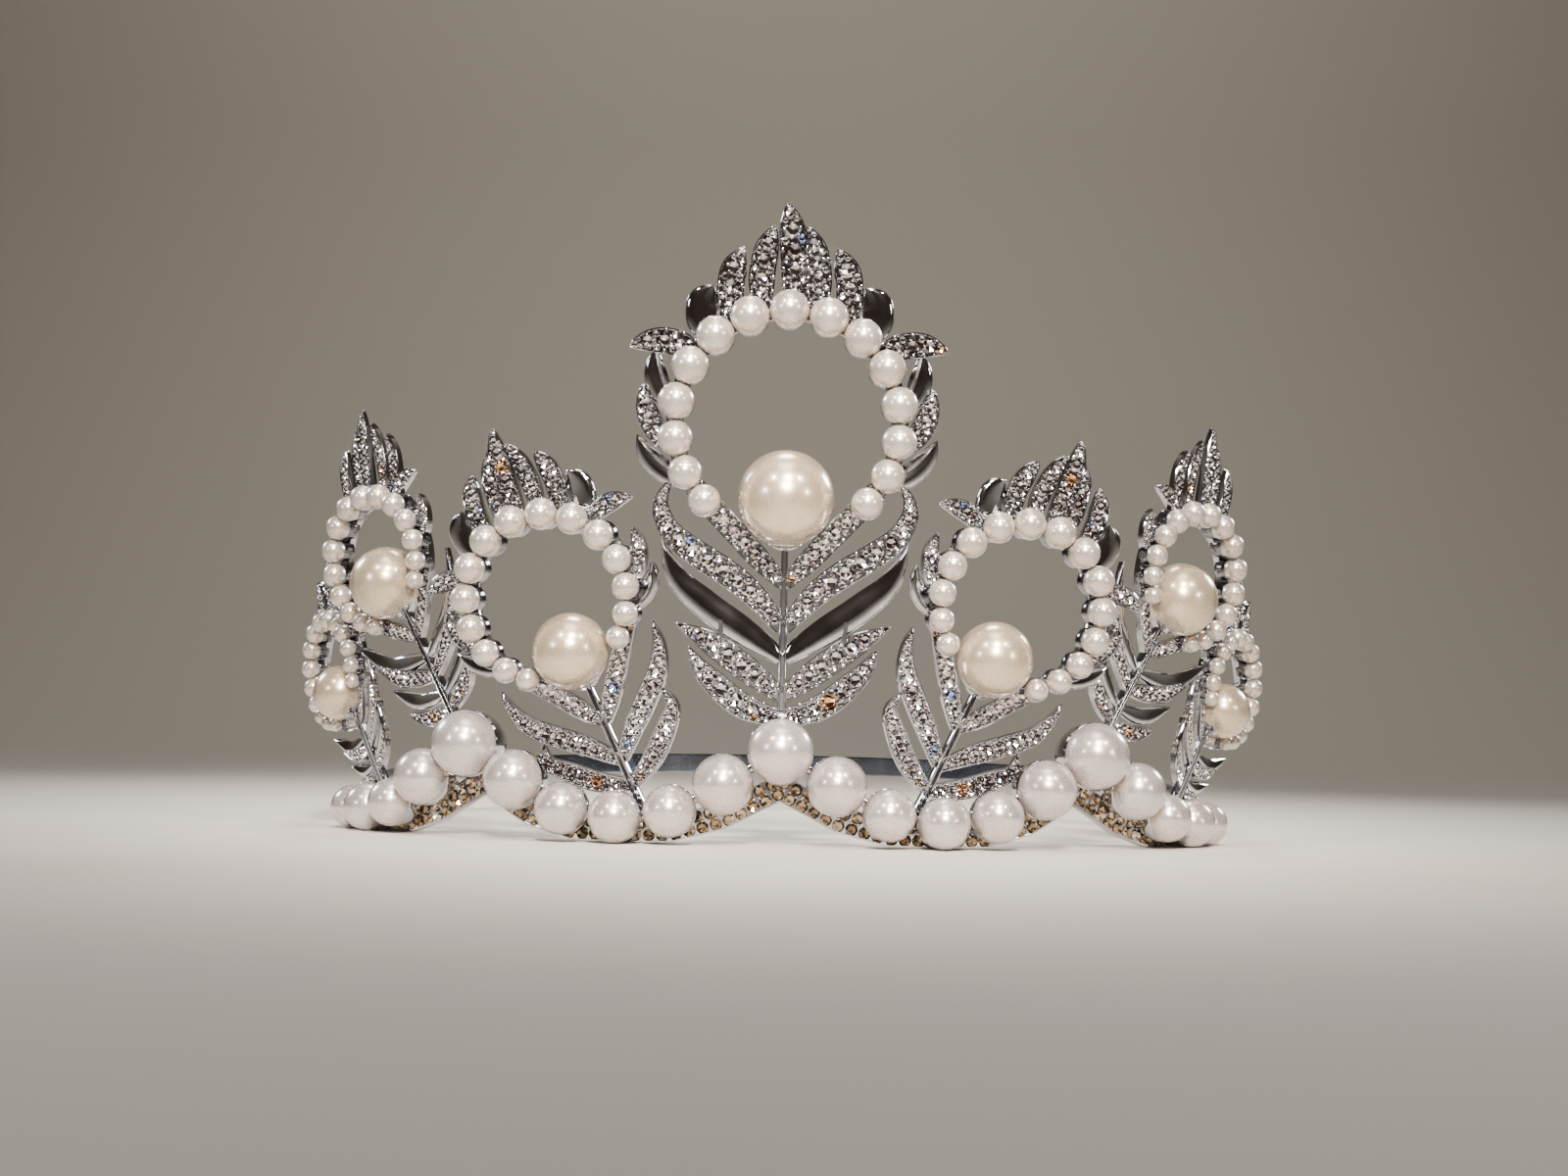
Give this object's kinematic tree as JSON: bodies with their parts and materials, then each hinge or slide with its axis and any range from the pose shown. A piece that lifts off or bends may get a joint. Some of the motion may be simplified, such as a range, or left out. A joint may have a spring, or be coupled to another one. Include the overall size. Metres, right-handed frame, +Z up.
{
  "type": "pageant crown",
  "caption": "Silver-plated pageant crown with leafy plumes that carry rings of imitation pearls, a scalloped pearl garland in front and a plain band behind.",
  "frame": {"origin": "under the middle of the crown's box, on the surface it stands on", "axes": "+X to the right as the crown is seen from the front, +Y to the back, +Z up"},
  "size_m": [0.201, 0.1693, 0.1191],
  "materials": {
    "plated_metal": "bright rhodium plate over cast alloy",
    "polished_band": "mirror polished strip",
    "pearl": "pearlescent lacquer",
    "rhinestone": "faceted clear stones with foiled backs"
  },
  "bodies": {
    "root": {"garland_frame": "plated_metal", "head_band": "polished_band", "base_pearl_front": "pearl", "base_pearl_left_01": "pearl", "base_pearl_left_02": "pearl", "base_pearl_left_03": "pearl", "base_pearl_left_04": "pearl", "base_pearl_left_05": "pearl", "base_pearl_left_06": "pearl", "base_pearl_left_07": "pearl", "base_pearl_left_08": "pearl", "base_pearl_left_09": "pearl", "base_pearl_left_10": "pearl", "base_pearl_right_01": "pearl", "base_pearl_right_02": "pearl", "base_pearl_right_03": "pearl", "base_pearl_right_04": "pearl", "base_pearl_right_05": "pearl", "base_pearl_right_06": "pearl", "base_pearl_right_07": "pearl", "base_pearl_right_08": "pearl", "base_pearl_right_09": "pearl", "base_pearl_right_10": "pearl", "plume_centre": "plated_metal", "plume_inner_left": "plated_metal", "plume_inner_right": "plated_metal", "plume_middle_left": "plated_metal", "plume_middle_right": "plated_metal", "plume_outer_left": "plated_metal", "plume_outer_right": "plated_metal", "main_pearl_centre": "pearl", "main_pearl_inner_left": "pearl", "main_pearl_inner_right": "pearl", "main_pearl_middle_left": "pearl", "main_pearl_middle_right": "pearl", "main_pearl_outer_left": "pearl", "main_pearl_outer_right": "pearl", "pearl_ring_centre": "pearl", "pearl_ring_inner_left": "pearl", "pearl_ring_inner_right": "pearl", "pearl_ring_middle_left": "pearl", "pearl_ring_middle_right": "pearl", "pearl_ring_outer_left": "pearl", "pearl_ring_outer_right": "pearl"}
  },
  "joints": []
}
